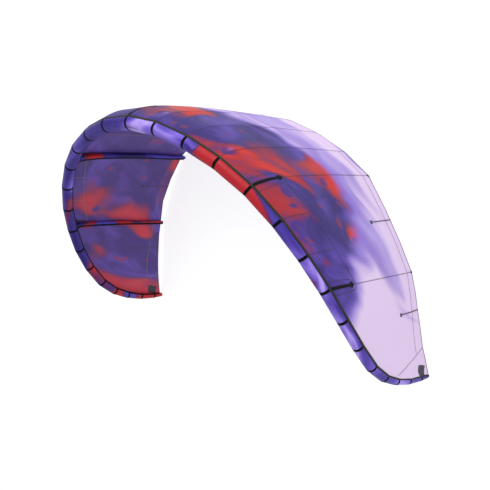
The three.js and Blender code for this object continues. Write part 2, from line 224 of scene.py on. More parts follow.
def canopyNormal(n, share):
    n0, n1 = max(-tip, n - shape["probeRows"]), min(tip, n + shape["probeRows"])
    s0, s1 = max(0, share - shape["probeShare"]), min(1, share + shape["probeShare"])
    across = canopyPoint(n1, share) - canopyPoint(n0, share)
    down = canopyPoint(n, s1) - canopyPoint(n, s0)
    return across.cross(down).normalized()


def canopyAt(n, share, lift=0.0):
    return canopyPoint(n, share) + canopyNormal(n, share) * lift


def edgeRow(number, angle):
    # a point on the leading edge tube at a row: angle 0 is the top, plus is forward
    row = rows[abs(number)]
    p = row["centre"] + (row["top"] * cos(angle) + row["front"] * sin(angle)) * row["radius"]
    return mirrored(p, number)


def edgeCentre(n):
    k, t = rowBefore(n)
    a = mirrored(rows[abs(k)]["centre"], k)
    b = mirrored(rows[abs(k + 1)]["centre"], k + 1)
    return a.lerp(b, t)


def edgeAt(n, angle, lift=0.0):
    # each length between two seams swells a little, and is drawn in at the seams
    k, t = rowBefore(n)
    p = edgeRow(k, angle).lerp(edgeRow(k + 1, angle), t)
    swell = shape["swell"] * (1 - abs(2 * t - 1) ** 5)
    out = (p - edgeCentre(n)).normalized()
    return p + out * (lift + swell)


def edgeRadius(n):
    return (edgeAt(n, 0) - edgeCentre(n)).length


def sewAt(n):
    k, t = rowBefore(abs(n))
    return rows[k]["sew"] * (1 - t) + rows[k + 1]["sew"] * t


def chordAt(n):
    return (canopyPoint(n, 1) - canopyPoint(n, 0)).length


spanCentre = [0.0]
for k in range(1, tip + 1):
    step = 0.5 * (rows[k]["centre"] - rows[k - 1]["centre"]).length
    step += 0.5 * (rows[k]["trail"] - rows[k - 1]["trail"]).length
    spanCentre.append(spanCentre[-1] + step)


def spanAt(n):
    # metres along the span, half way between the edges
    k, t = rowBefore(abs(n))
    s = spanCentre[k] * (1 - t) + spanCentre[k + 1] * t
    return s if n > 0 else -s


def rowWidth(n, share):
    # metres of cloth from one row to the next
    k = rowBefore(n)[0]
    return (rowPoint(k + 1, share) - rowPoint(k, share)).length


print("lines worked out")


def newObject(name, points, lay, faces):
    mesh = bpy.data.meshes.new(name)
    mesh.from_pydata([tuple(standUp(p)) for p in points], [], faces)
    mesh.update()
    # where each point lies on its flat cloth, in metres: the prints read it
    attribute = mesh.attributes.new("lay", "FLOAT_VECTOR", "POINT")
    attribute.data.foreach_set("vector", [c for v in lay for c in v])
    obj = bpy.data.objects.new(name, mesh)
    bpy.context.scene.collection.objects.link(obj)
    return obj


def useOnly(obj):
    bpy.ops.object.select_all(action="DESELECT")
    obj.select_set(True)
    bpy.context.view_layer.objects.active = obj


def finished(obj, slotName, degrees, *finishes):
    # every finished piece rides on the kite's one body
    for material in finishes:
        obj.data.materials.append(material)
    useOnly(obj)
    bpy.ops.object.shade_smooth_by_angle(angle=radians(degrees))
    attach(obj, "root")
    return obj


def replacesSolid(obj):
    # the solid that a piece stands for has the same name, with its words in small letters
    words = "".join("_" + letter.lower() if letter.isupper() else letter for letter in obj.name)
    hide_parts(words)


def applyModifier(obj, kind, **settings):
    modifier = obj.modifiers.new(kind.lower(), kind)
    for key, value in settings.items():
        setattr(modifier, key, value)
    useOnly(obj)
    bpy.ops.object.modifier_apply(modifier=modifier.name)


def mendNormals(obj, weldUnder=0.0):
    useOnly(obj)
    bpy.ops.object.mode_set(mode="EDIT")
    bpy.ops.mesh.select_all(action="SELECT")
    if weldUnder:
        bpy.ops.mesh.remove_doubles(threshold=weldUnder)
    bpy.ops.mesh.normals_make_consistent(inside=False)
    bpy.ops.object.mode_set(mode="OBJECT")


def gridOf(points, lay, faceStart=0, closed=False):
    # faces of a grid of points, wound so that i across j faces up
    faces = []
    count = len(points[0])
    for i in range(len(points) - 1):
        for j in range(count - (0 if closed else 1)):
            a = faceStart + i * count + j
            b = faceStart + i * count + (j + 1) % count
            faces.append((a, a + count, b + count, b))
    flatPoints = [p for line in points for p in line]
    flatLay = [p for line in lay for p in line]
    return flatPoints, flatLay, faces


def clothPiece(name, patches, thick, offset=0.0):
    # flat trims cut from cloth: each patch is a grid of points and the grid of where they lie flat
    allPoints, allLay, allFaces = [], [], []
    for points, lay in patches:
        flatPoints, flatLay, faces = gridOf(points, lay, len(allPoints))
        allPoints += flatPoints
        allLay += flatLay
        allFaces += faces
    obj = newObject(name, allPoints, allLay, allFaces)
    applyModifier(obj, "SOLIDIFY", thickness=thick, offset=offset, use_rim=True)
    return obj


def trim(name, patches, thick, slotName, degrees, finish):
    return finished(clothPiece(name, patches, thick), slotName, degrees, finish)


def loft(name, rings, lays):
    # a closed tube through rings of points
    n = len(rings[0])
    points, lay, faces = gridOf(rings, lays, 0, True)
    faces.append(tuple(range(n)))
    faces.append(tuple(reversed(range((len(rings) - 1) * n, len(rings) * n))))
    obj = newObject(name, points, lay, faces)
    mendNormals(obj)
    return obj


def roundAngles(count):
    return [2 * pi * j / count for j in range(count)]


def ringOf(centre, up, side, radius, angles):
    return [centre + (up * cos(a) + side * sin(a)) * radius for a in angles]


def ringLay(length, radius, angles):
    return [(length, radius * cos(a), radius * sin(a)) for a in angles]


def paint(code):
    # a colour as painters write it, to the shader's own values
    values = [int(code[i:i + 2], 16) / 255 for i in (1, 3, 5)]
    return [v / 12.92 if v <= 0.04045 else ((v + 0.055) / 1.055) ** 2.4 for v in values] + [1.0]


class Port:
    # a shader socket that can be written into sums
    def __init__(self, shader, socket):
        self.shader = shader
        self.socket = socket

    def _maths(self, operation, *values):
        return self.shader.node("ShaderNodeMath", {"operation": operation}, dict(enumerate(values)))

    def __add__(self, other):
        return self._maths("ADD", self, other)

    def __radd__(self, other):
        return self._maths("ADD", other, self)

    def __sub__(self, other):
        return self._maths("SUBTRACT", self, other)

    def __rsub__(self, other):
        return self._maths("SUBTRACT", other, self)

    def __mul__(self, other):
        return self._maths("MULTIPLY", self, other)

    def __rmul__(self, other):
        return self._maths("MULTIPLY", other, self)


class Finish:
    # one material and the few things every material here needs
    def __init__(self, name):
        self.material = bpy.data.materials.new(name)
        self.material.use_nodes = True
        self.tree = self.material.node_tree
        self.tree.nodes.clear()

    def node(self, kind, settings=None, inputs=None, output=0):
        made = self.tree.nodes.new(kind)
        for key, value in (settings or {}).items():
            if key == "stops":
                ramp = made.color_ramp
                while len(ramp.elements) < len(value):
                    ramp.elements.new(0.5)
                for element, (position, colour) in zip(ramp.elements, value):
                    element.position = position
                    element.color = paint(colour) if isinstance(colour, str) else [colour] * 3 + [1.0]
            else:
                setattr(made, key, value)
        for key, value in (inputs or {}).items():
            socket = made.inputs[key]
            if isinstance(value, Port):
                self.tree.links.new(value.socket, socket)
            else:
                socket.default_value = value
        return Port(self, made.outputs[output]) if output is not None else None

    def lay(self):
        return self.node("ShaderNodeAttribute", {"attribute_name": "lay"}, {}, "Vector")

    def split(self, vector):
        made = self.node("ShaderNodeSeparateXYZ", {}, {0: vector})
        return [Port(self, output) for output in made.socket.node.outputs]

    def scaled(self, vector, scale, place=(0, 0, 0)):
        return self.node("ShaderNodeMapping", {}, {"Vector": vector, "Location": place, "Scale": scale})

    def noise(self, vector, scale, detail=2.0, rough=0.5, distortion=0.0, output=0):
        values = {"Vector": vector, "Scale": scale, "Detail": detail, "Roughness": rough}
        values["Distortion"] = distortion
        return self.node("ShaderNodeTexNoise", {}, values, output)

    def drifted(self, vector, drift, amount):
        # the vector pushed about by a coloured noise
        values = {0: drift, 1: amount, 2: vector}
        return self.node("ShaderNodeVectorMath", {"operation": "MULTIPLY_ADD"}, values)

    def sine(self, value):
        return self.node("ShaderNodeMath", {"operation": "SINE"}, {0: value})

    def ramp(self, value, stops):
        return self.node("ShaderNodeValToRGB", {"stops": stops}, {0: value})

    def step(self, value, low, high, first=0.0, second=1.0):
        values = {"Value": value, "From Min": low, "From Max": high, "To Min": first, "To Max": second}
        return self.node("ShaderNodeMapRange", {"interpolation_type": "SMOOTHSTEP", "clamp": True}, values)

    def mixed(self, amount, first, second):
        first = paint(first) if isinstance(first, str) else first
        second = paint(second) if isinstance(second, str) else second
        return self.node("ShaderNodeMix", {"data_type": "RGBA"}, {0: amount, 6: first, 7: second}, 2)

    def bump(self, height, strength=0.8):
        # heights are in metres
        return self.node("ShaderNodeBump", {}, {"Height": height, "Distance": 1.0, "Strength": strength})

    def finish(self, **values):
        names = {
            "colour": "Base Color", "rough": "Roughness", "normal": "Normal",
            "specular": "Specular IOR Level", "glow": "Emission Color", "glowPower": "Emission Strength",
        }
        inputs = {}
        for key, value in values.items():
            inputs[names[key]] = paint(value) if isinstance(value, str) else value
        shader = self.node("ShaderNodeBsdfPrincipled", {}, inputs)
        self.node("ShaderNodeOutputMaterial", {}, {"Surface": shader}, None)
        return self.material


def weave(f, vector, fine, ripstop):
    # threads and the heavier threads of ripstop, as one height
    x, y = f.split(vector)[:2]

    def threads(value, apart):
        return f.sine(value * (2 * pi / apart))

    small = threads(x, fine) * threads(y, fine)
    across = f.step(threads(x, ripstop), 0.9, 1.0)
    down = f.step(threads(y, ripstop), 0.9, 1.0)
    heavy = f.node("ShaderNodeMath", {"operation": "MAXIMUM"}, {0: across, 1: down})
    return small * 0.25 + heavy


printLook = {
    "deep": "#33256a", "violet": "#54409a", "soft": "#7f68c4", "lilac": "#a693d2", "pale": "#d4bfe0",
    "red": "#bc2c24", "darkRed": "#7e283c", "shade": "#9079c2", "through": "#8a6ca4", "drop": "#382872",
    # how far back the dark front reaches, from the left tip to the right
    "reach": [(0.0, 0.93), (0.22, 0.90), (0.40, 0.60), (0.5, 0.46), (0.6, 0.47), (0.72, 0.58), (0.79, 0.53),
              (0.86, 0.34), (0.91, 0.14), (0.95, 0.0)],
}


def clothPrint(f, vector):
    # the dyed cloth: dark violet and red flowing into lilac towards the trailing edge and the right tip
    x = f.split(vector)[0]
    drift = f.noise(f.scaled(vector, (0.9, 1.1, 1)), 1.3, 2.0, 0.5, 0.4, "Color")
    warp = f.drifted(vector, drift, (0.6, 0.46, 0.0))
    backward = f.split(warp)[1]
    # streaks of lilac and pink that run with the span
    streaks = f.noise(f.scaled(warp, (0.5, 2.6, 1)), 1.5, 3.0, 0.5, 0.7)
    light = f.mixed(f.step(streaks, 0.34, 0.58), printLook["shade"], printLook["lilac"])
    blush = f.noise(f.scaled(warp, (0.42, 1.7, 1), (3, 1, 0)), 1.4, 2.0, 0.5, 0.4)
    light = f.mixed(f.step(blush + f.step(x, 1.2, 3.0) * 0.2, 0.44, 0.62), light, printLook["pale"])
    # the dark front, with pools and veins of red
    clouds = f.noise(warp, 2.3, 3.0, 0.5, 0.6)
    dark = f.mixed(f.step(clouds, 0.40, 0.70), printLook["deep"], printLook["violet"])
    pools = f.noise(f.scaled(warp, (0.75, 0.85, 1), (1.3, 0.4, 0)), 1.45, 2.5, 0.5, 0.5)
    pools = pools + f.step(x, -1.2, -2.8) * 0.01 + f.step(x, -0.4, 0.6) * 0.012
    redness = f.step(pools, 0.50, 0.57)
    heart = f.step(pools, 0.53, 0.62)
    red = f.mixed(heart, printLook["darkRed"], printLook["red"])
    # drops of violet in the red, each paler at its middle, and drops of red in the violet
    bent = f.drifted(vector, f.noise(vector, 5.0, 2.0, 0.5, 0.0, "Color"), (0.16, 0.16, 0.0))
    spread = {"Vector": bent, "Scale": 5.2, "Smoothness": 0.35}
    cells = f.node("ShaderNodeTexVoronoi", {"feature": "SMOOTH_F1"}, spread)
    crowd = f.step(f.noise(f.scaled(vector, (1, 1, 1), (5, 2, 0)), 1.7, 1.0, 0.5), 0.46, 0.60)
    drops = f.step(cells, 0.36, 0.26) * crowd
    red = f.mixed(drops, red, f.mixed(f.step(cells, 0.20, 0.06), printLook["drop"], printLook["soft"]))
    dark = f.mixed(f.step(cells, 0.22, 0.12) * crowd * 0.7, dark, printLook["darkRed"])
    dark = f.mixed(redness, dark, red)
    reach = f.ramp(f.step(x, -4.2, 4.2), printLook["reach"])
    ripple = f.noise(f.scaled(vector, (0.8, 0.5, 1)), 1.8, 2.5, 0.5, 0.5)
    away = backward - reach * 2.5 - ripple * 0.7 + 0.6
    edge = f.mixed(f.step(away, -0.05, 0.12), dark, printLook["soft"])
    return f.mixed(f.step(away, 0.02, 0.26), edge, light)


def canopyFinish(name, inside):
    f = Finish(name)
    lay = f.lay()
    colour = clothPrint(f, lay)
    if inside:
        # from inside, the print shows through the cloth, duller
        colour = f.mixed(0.14, colour, printLook["through"])
    height = weave(f, lay, 0.0016, 0.011)
    crinkle = f.noise(lay, 16.0, 4.0, 0.6, 0.3)
    normal = f.bump(height * 0.00012 + crinkle * 0.0014)
    rough = f.step(f.noise(lay, 5.0, 3.0, 0.6), 0.2, 0.8, 0.5, 0.64)
    # painted light: the inside face glows with its own colour, standing in for daylight coming through the
    # cloth from the other side
    glow = {"glow": colour, "glowPower": 0.12} if inside else {}
    return f.finish(colour=colour, rough=rough, normal=normal, specular=0.22, **glow)


def tubeFinish(name, look):
    # heavier polyester of the inflated tubes, printed in the same dyes, with a slight shine; on the leading
    # edge the palest tones are partly print and partly painted highlight
    f = Finish(name)
    lay = f.lay()
    along = f.split(lay)[0]
    drift = f.noise(f.scaled(lay, (1, 3, 3)), 1.1, 2.0, 0.5, 0.3, "Color")
    warp = f.drifted(lay, drift, (0.55, 0.12, 0.12))
    dye = f.noise(f.scaled(warp, (1, 3.2, 3.2), look["place"]), look["scale"], 2.0, 0.5, 0.5)
    place = along * (1 / look["length"])
    colour = f.ramp(dye + f.ramp(place, look["tone"]) - 0.5, look["stops"])
    pools = f.noise(f.scaled(warp, (1, 2.4, 2.4), (7.4, 1, 3)), look["redScale"], 1.5, 0.4, 0.5)
    pools = pools + f.ramp(place, look["redTone"]) - 0.5
    rim = f.mixed(f.step(pools, look["redFrom"] - 0.03, look["redFrom"] + 0.02), colour, look["rim"])
    colour = f.mixed(f.step(pools, look["redFrom"], look["redFrom"] + 0.06), rim, look["red"])
    height = weave(f, lay, 0.0014, 0.006)
    crinkle = f.noise(f.scaled(lay, (30, 6, 6)), 1.2, 3.0, 0.6, 0.2)
    gathers = f.sine(along * (2 * pi / 0.0125) + crinkle * 6.0)
    patchy = f.step(f.noise(lay, 2.3, 1.0, 0.5), 0.42, 0.62)
    normal = f.bump(height * 0.0001 + crinkle * 0.0011 + gathers * patchy * 0.00022)
    rough = f.step(crinkle, 0.3, 0.7, 0.40, 0.52)
    return f.finish(colour=colour, rough=rough, normal=normal, specular=0.22)


edgeLook = {
    # the palest lilac stops are partly print and partly painted highlight on the tube
    "stops": [(0.0, "#231262"), (0.22, "#2b1a74"), (0.36, "#3a2a8c"), (0.45, "#5a43ac"), (0.52, "#7a62cc"),
              (0.58, "#a48ee2"), (0.66, "#c0a8e6")],
    "rim": "#561f56", "red": "#ac1c28",
    "scale": 1.7, "place": (0.4, 0, 0),
    "redFrom": 0.52, "redScale": 1.25,
    # lighter or darker, and more or less red, from the left tip to the right
    "length": 8.43,
    "tone": [(0.0, 0.26), (0.2, 0.23), (0.27, 0.36), (0.36, 0.45), (0.44, 0.42), (0.52, 0.41), (0.58, 0.43),
             (0.75, 0.38), (0.85, 0.42), (0.90, 0.50), (0.935, 0.66), (0.965, 0.42), (1.0, 0.38)],
    "redTone": [(0.0, 0.70), (0.07, 0.66), (0.12, 0.58), (0.28, 0.555), (0.40, 0.38), (0.55, 0.38),
                (0.61, 0.55), (0.7, 0.56), (0.82, 0.52), (0.9, 0.36), (1.0, 0.34)],
}
strutLook = {
    "stops": [(0.0, "#15104a"), (0.42, "#241a66"), (0.5, "#33288a"), (0.6, "#4a3ea8")],
    "rim": "#5a1c50", "red": "#b21a1e", "scale": 3.2, "place": (2, 5, 1), "redFrom": 0.575, "redScale": 2.0,
    "length": 1.0, "tone": [(0.0, 0.5), (1.0, 0.5)], "redTone": [(0.0, 0.5), (1.0, 0.5)],
}


def tapeFinish(name, code, second, weaveSize, rough, shine=0.18):
    f = Finish(name)
    lay = f.lay()
    worn = f.noise(lay, 30.0, 3.0, 0.6)
    colour = f.mixed(f.step(worn, 0.35, 0.75), code, second)
    normal = f.bump(weave(f, lay, weaveSize, weaveSize * 4) * 0.0002)
    roughness = f.step(worn, 0.2, 0.8, rough - 0.08, rough + 0.08)
    return f.finish(colour=colour, rough=roughness, normal=normal, specular=shine)


def doubledFinish(name, share, code):
    # a felled seam of the canopy: the same print, duller where the cloth is doubled and stitched
    f = Finish(name)
    return f.finish(colour=f.mixed(share, clothPrint(f, f.lay()), code), rough=0.62, specular=0.2)


def hemFinish(name, code, thread):
    # folded cloth with its row of stitches
    f = Finish(name)
    lay = f.lay()
    stitch = f.step(f.sine(f.split(lay)[0] * (2 * pi / 0.008)), -0.2, 0.4)
    colour = f.mixed(stitch, code, thread)
    return f.finish(colour=colour, rough=0.62, normal=f.bump(stitch * 0.0003), specular=0.2)


canopyOutside = canopyFinish("canopyPrintOutside", False)
canopyInside = canopyFinish("canopyPrintInside", True)
edgeCloth = tubeFinish("leadingEdgePolyester", edgeLook)
strutCloth = tubeFinish("strutPolyester", strutLook)
bandTape = tapeFinish("seamBandTape", "#060708", "#0f1011", 0.0018, 0.62, 0.06)
pipingTape = tapeFinish("pipingTape", "#24251f", "#30312a", 0.0016, 0.62)
barCloth = tapeFinish("noseBarCloth", "#0e0f0f", "#181919", 0.003, 0.66, 0.1)
patchCloth = tapeFinish("tipPatchCloth", "#3a3840", "#47454e", 0.002, 0.62)
seamOutside = doubledFinish("panelSeamOutside", 0.62, "#39334a")
seamInside = doubledFinish("panelSeamInside", 0.6, "#83747c")
hemTape = hemFinish("trailingHem", "#4c3f6a", "#3b3250")
battenCloth = tapeFinish("battenSleeve", "#4a4356", "#5a5268", 0.002, 0.62)
hoseRubber = tapeFinish("hoseRubber", "#0b0b0d", "#141416", 0.004, 0.42)
print("materials made")

# canopy: one sheet over all the rows

canopyCut = {"perRow": 14, "back": 64}


def makeCanopy():
    points, lay = [], []
    # closer steps near the leading edge, where the cloth curves most
    backSteps = [j / canopyCut["back"] for j in range(canopyCut["back"] + 1)]
    shares = [0.35 * v + 0.65 * v * v for v in backSteps]
    for n in acrossSpan(tip, canopyCut["perRow"]):
        points.append([canopyPoint(n, share) for share in shares])
        lay.append([(spanAt(n), share * chordAt(n), 0.0) for share in shares])
    obj = newObject("canopy", *gridOf(points, lay))
    obj.data.materials.append(canopyOutside)
    obj.data.materials.append(canopyInside)
    applyModifier(obj, "SOLIDIFY", thickness=shape["cloth"], offset=-1.0,
                  use_rim=True, material_offset=1, material_offset_rim=0)
    area = sum(p.area for p in obj.data.polygons if p.material_index == 1)
    return finished(obj, "canopy_cloth", 50), area


canopy, canopyArea = makeCanopy()
canopyNodes = []
for side in ("left", "right"):
    for part in ("first", "second", "third", "fourth", "wing", "tip"):
        canopyNodes.append("canopy_" + part + "_" + side)
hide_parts(*canopyNodes)
print("canopy made, square metres", round(canopyArea, 2), "faces", len(canopy.data.polygons))

# leading edge: one inflated tube with thirty tapered lengths

edgeCut = {
    "around": 48,
    "steps": (0.0, 0.03, 0.1, 0.25, 0.5, 0.75, 0.9, 0.97),     # shares of each length
    "roundOff": 0.97, "roundReach": 0.007,                     # the ring before the flat end of a tip
    "flatEnd": 0.85,
}


def edgeCap(angles, length, sign):
    # the closed end of the tube at a tip: a smaller ring, then a flat end that stands on the floor
    row = rows[tip]
    along = (row["centre"] - rows[tip - 1]["centre"]).normalized()
    top = square(row["up"], along)
    front = along.cross(top).normalized()
    small, flat = row["radius"] * edgeCut["roundOff"], row["radius"] * edgeCut["flatEnd"]
    first = [p + along * edgeCut["roundReach"] for p in ringOf(row["centre"], top, front, small, angles)]
    last = [toFloor(p, along) for p in ringOf(row["centre"], top, front, flat, angles)]
    rings = [[mirrored(p, sign) for p in ring] for ring in (first, last)]
    return rings, [ringLay(length, radius, angles) for radius in (small, flat)]


def makeEdge():
    angles = roundAngles(edgeCut["around"])
    numbers = [k + t for k in range(-tip, tip) for t in edgeCut["steps"]] + [tip]
    rings, lays = [], []
    length = 0.0
    before = None
    for n in numbers:
        centre = edgeCentre(n)
        length += (centre - before).length if before else 0.0
        before = centre
        rings.append([edgeAt(n, a) for a in angles])
        lays.append(ringLay(length, edgeRadius(n), angles))
    leftRings, leftLays = edgeCap(angles, 0, -1)
    rightRings, rightLays = edgeCap(angles, length, 1)
    rings = leftRings[::-1] + rings + rightRings
    lays = leftLays[::-1] + lays + rightLays
    return finished(loft("leadingEdge", rings, lays), "edge_cloth", 40, edgeCloth)


leadingEdge = makeEdge()
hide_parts(*["leading_edge_%02d" % i for i in range(1, 16)])

# black bands over the seams of the leading edge

bandCut = {"half": 0.0128, "lift": 0.0009, "thick": 0.001, "around": 48}
acrossTape = (-1, -0.5, 0, 0.5, 1)     # points from one side of a tape to the other, in half widths


def makeBands():
    patches = []
    for k in range(1 - tip, tip):
        behind = bandCut["half"] / (edgeCentre(k) - edgeCentre(k - 1)).length
        ahead = bandCut["half"] / (edgeCentre(k + 1) - edgeCentre(k)).length
        numbers = [k - behind, k - behind * 0.5, k, k + ahead * 0.5, k + ahead]
        points, lay = [], []
        for j in range(bandCut["around"] + 1):
            a = 2 * pi * j / bandCut["around"]
            points.append([edgeAt(n, a, bandCut["lift"]) for n in numbers])
            lay.append([(k + s * bandCut["half"], a * rows[abs(k)]["radius"], 0) for s in acrossTape])
        patches.append((points, lay))
    obj = clothPiece("edgeBands", patches, bandCut["thick"], -1.0)
    mendNormals(obj, 0.00005)
    finished(obj, "reinforcement", 50, bandTape)


makeBands()

# piping where the canopy is sewn on the leading edge

pipingCut = {"ahead": 0.010, "behind": 0.009, "thick": 0.0012, "perRow": 12, "end": 14.97}


def makePiping():
    points, lay = [], []
    for i, n in enumerate(acrossSpan(pipingCut["end"], pipingCut["perRow"])):
        a = -sewAt(n)
        reach = pipingCut["ahead"] / edgeRadius(n)
        reachBack = min(0.3, pipingCut["behind"] / max(0.05, chordAt(n)))
        points.append([
            edgeAt(n, a + reach, 0.0006),
            edgeAt(n, a + reach * 0.65, 0.0016),
            edgeAt(n, a + reach * 0.3, shape["clothOver"] + 0.0012),
            edgeAt(n, a, shape["clothOver"] + 0.0022),
            canopyAt(n, reachBack * 0.5, 0.0022),
            canopyAt(n, reachBack, 0.0016),
        ])
        lay.append([(0.03 * (i + 1), 0.004 * j, 0) for j in range(6)])
    return trim("edgePiping", [(points, lay)], pipingCut["thick"], "reinforcement", 50, pipingTape)


edgePiping = makePiping()

# the black tape over the seam that closes the leading edge tube along its length, on the inside of the
# arch; it is also set and sized to paint the shade where the canopy's inner face meets the tube
closingTape = {
    "angle": radians(227), "half": 0.011, "lift": 0.0008, "thick": 0.001,
    "perRow": 10, "end": 14.9, "rowLength": 0.28,
}


def makeClosingTapeAndShade():
    points, lay = [], []
    sides = [-s * closingTape["half"] for s in acrossTape]
    for n in acrossSpan(closingTape["end"], closingTape["perRow"]):
        angles = [closingTape["angle"] + w / edgeRadius(n) for w in sides]
        points.append([edgeAt(n, a, closingTape["lift"]) for a in angles])
        lay.append([(closingTape["rowLength"] * n, w, 0) for w in sides])
    trim("closingTape", [(points, lay)], closingTape["thick"], "reinforcement", 50, bandTape)


makeClosingTapeAndShade()
print("leading edge, bands, tape and piping made")

# struts: five inflated tubes under the canopy

# radius in front, at a third and at the rear, and how far to the side its hose leaves the leading edge
strutTable = [
    {"name": "Centre", "row": 0, "radii": (0.040, 0.034, 0.027), "hoseOut": 0.105, "stands": True},
    {"name": "Inner", "row": 4, "radii": (0.039, 0.032, 0.026), "hoseOut": 0.145, "stands": True},
    {"name": "Outer", "row": 7, "radii": (0.037, 0.029, 0.022), "hoseOut": 0.105, "stands": False},
]
sides = ((1, "Right"), (-1, "Left"))
everyStrut = [(strutTable[0], 1, "Centre")]
for spec in strutTable[1:]:
    everyStrut += [(spec, sign, spec["name"] + side) for sign, side in sides]


def strutRadius(spec, t):
    return between(list(zip((0, 0.33, 1), spec["radii"])), t)


def clearOfEdge(number, p, spare):
    # straight back until the point leaves the leading edge tube
    row = rows[number]
    clear = row["radius"] + 0.0003 + spare
    inner = rows[number - 1]["centre"] if number else mirrored(rows[1]["centre"], -1)
    reach = []
    for other in (rows[number + 1]["centre"], inner):
        way = (other - row["centre"]).normalized()
        across = row["back"] - way * row["back"].dot(way)
        away = p - row["centre"]
        away = away - way * away.dot(way)
        a = across.length_squared
        b = away.dot(across)
        inside = b * b - a * (away.length_squared - clear * clear)
        reach.append((-b + inside ** 0.5) / a if inside > 0 else -b / a)
    return p + row["back"] * max(reach)


def ceilingAt(number, d, w):
    # height of the canopy's inner face at d behind the leading edge's axis and w to the side
    row = rows[number]
    n = number + w / rowWidth(number if w > 0 else number - 0.01, 0.05)
    line = []
    for i in range(30):
        share = 0.22 * (i / 29) ** 1.5
        p = canopyAt(n, share, -shape["cloth"] - 0.0006)
        if number == 0 and w < 0:
            p.x = -abs(p.x)
        away = p - row["centre"]
        line.append((away.dot(row["back"]), away.dot(row["up"])))
    return between(line, d)


def strutCentre(spec, share):
    # the tube's axis, its own radius below the canopy
    k = spec["row"]
    t = min(1, share)
    r = strutRadius(spec, t)
    upWay = canopyNormal(k, share)
    surface = rowPoint(k, share) + upWay * (canopyPoint(k, share) - rowPoint(k, share)).dot(upWay)
    return surface - upWay * (r + shape["cloth"] + 0.0008), upWay, r


def strutRing(spec, share, angles, lift=0.0):
    centre, upWay, r = strutCentre(spec, share)
    return ringOf(centre, upWay, rows[spec["row"]]["side"], r + lift, angles)


strutCut = {
    "around": 32, "steps": 44,
    "start": 0.085, "end": 0.992,      # shares of the chord between which it follows the canopy
    "ends": ((0.985, 0.003), (0.93, 0.0075), (0.84, 0.011)),   # the rounded rear end: size, and how far on
    "foot": 0.7,                       # size of the flat end
}


def strutFront(spec, angles, size=1.0, lift=0.0):
    # the strut's front end, cut to the leading edge tube and kept under the canopy
    number = spec["row"]
    row = rows[number]
    depth = row["radius"] * 0.9
    slopeUp = (ceilingAt(number, depth + 0.012, 0) - ceilingAt(number, depth - 0.012, 0)) / 0.024
    front = spec["radii"][0]
    middle = ceilingAt(number, depth, 0) - front * (1 + slopeUp ** 2) ** 0.5
    r = front * size + lift
    ring = []
    for a in angles:
        u, w = middle + r * cos(a), r * sin(a)
        for turnAgain in range(8):
            p = clearOfEdge(number, row["centre"] + row["up"] * u + row["side"] * w, 0.0006)
            u = min(u, ceilingAt(number, (p - row["centre"]).dot(row["back"]), w) - 0.003 * (1 - size))
        ring.append(p)
    return ring


def makeStrut(spec, sign, name):
    row = rows[spec["row"]]
    angles = roundAngles(strutCut["around"])
    rings, lays = [], []
    for size in (0.2, 0.6, 1.0):
        rings.append(strutFront(spec, angles, size))
        lays.append(ringLay(0.0, spec["radii"][0] * size, angles))
    for i in range(strutCut["steps"] + 1):
        share = strutCut["start"] + (strutCut["end"] - strutCut["start"]) * i / strutCut["steps"]
        rings.append(strutRing(spec, share, angles))
        lays.append(ringLay(share * row["chord"], strutRadius(spec, share), angles))
    centre, upWay, r = strutCentre(spec, 1.0)
    for size, ahead in strutCut["ends"] + ((strutCut["foot"], 0.012),):
        ring = ringOf(centre, upWay, row["side"], r * size, angles)
        if size == strutCut["foot"] and spec["stands"]:
            rings.append([toFloor(p, row["back"]) for p in ring])
        else:
            rings.append([p + row["back"] * ahead for p in ring])
        lays.append(ringLay(row["chord"] + 0.01, r * size, angles))
    rings = [[mirrored(p, sign) for p in ring] for ring in rings]
    # each strut is cut from another place of the printed cloth
    lays = [[(x + 3.1 * spec["row"] * sign, y, z) for x, y, z in ring] for ring in lays]
    obj = finished(loft("strut" + name, rings, lays), "strut_cloth", 40, strutCloth)
    replacesSolid(obj)


strutTape = {
    "half": 0.0095, "sideHalf": 0.0045, "sideAngle": radians(38),
    "lift": 0.0003, "thick": 0.001, "steps": 60, "end": 0.998,
}


def strutTapes(spec, sign, name):
    # a tape along the free edge, and one on each side where the strut is sewn to the canopy
    patches = []
    lift = strutTape["lift"] + strutTape["thick"]
    sideAngle, sideHalf = strutTape["sideAngle"], strutTape["sideHalf"]
    for middle, half in ((pi, strutTape["half"]), (sideAngle, sideHalf), (-sideAngle, sideHalf)):
        points, lay = [], []
        if middle == pi:
            angles = [middle + s * half / spec["radii"][0] for s in acrossTape]
            points.append([mirrored(p, sign) for p in strutFront(spec, angles, 1.0, lift)])
            lay.append([(0.0, s * half, 0) for s in acrossTape])
        for i in range(strutTape["steps"] + 1):
            share = strutCut["start"] + (strutTape["end"] - strutCut["start"]) * i / strutTape["steps"]
            angles = [middle + s * half / strutRadius(spec, share) for s in acrossTape]
            points.append([mirrored(p, sign) for p in strutRing(spec, share, angles, lift)])
            lay.append([(share * 1.6, s * half, 0) for s in acrossTape])
        patches.append((points, lay))
    trim("strutTapes" + name, patches, strutTape["thick"], "reinforcement", 50, bandTape)


for strut in everyStrut:
    makeStrut(*strut)
    strutTapes(*strut)
print("struts made")

# hoses from the leading edge to the struts, each with two clips

hoseCut = {
    "radius": 0.006, "around": 14, "steps": 40, "clipOver": 0.002, "clipAround": 20,
    "reach": 0.170,            # how far behind the leading edge it ends
    "side": radians(112),      # where round the strut it ends, from the top
    "clips": {"Front": (0.30, 0.37), "Rear": (0.88, 0.95)},    # shares of its length
}


def pathPoint(points, t):
    # a smooth curve through the points
    x = t * (len(points) - 1)
    i = min(len(points) - 2, int(x))
    u = x - i
    a = points[max(0, i - 1)]
    b, c = points[i], points[i + 1]
    d = points[min(len(points) - 1, i + 2)]
    bend = (2 * a - 5 * b + 4 * c - d) * u ** 2 + (3 * b - a - 3 * c + d) * u ** 3
    return b + ((c - a) * u + bend) / 2


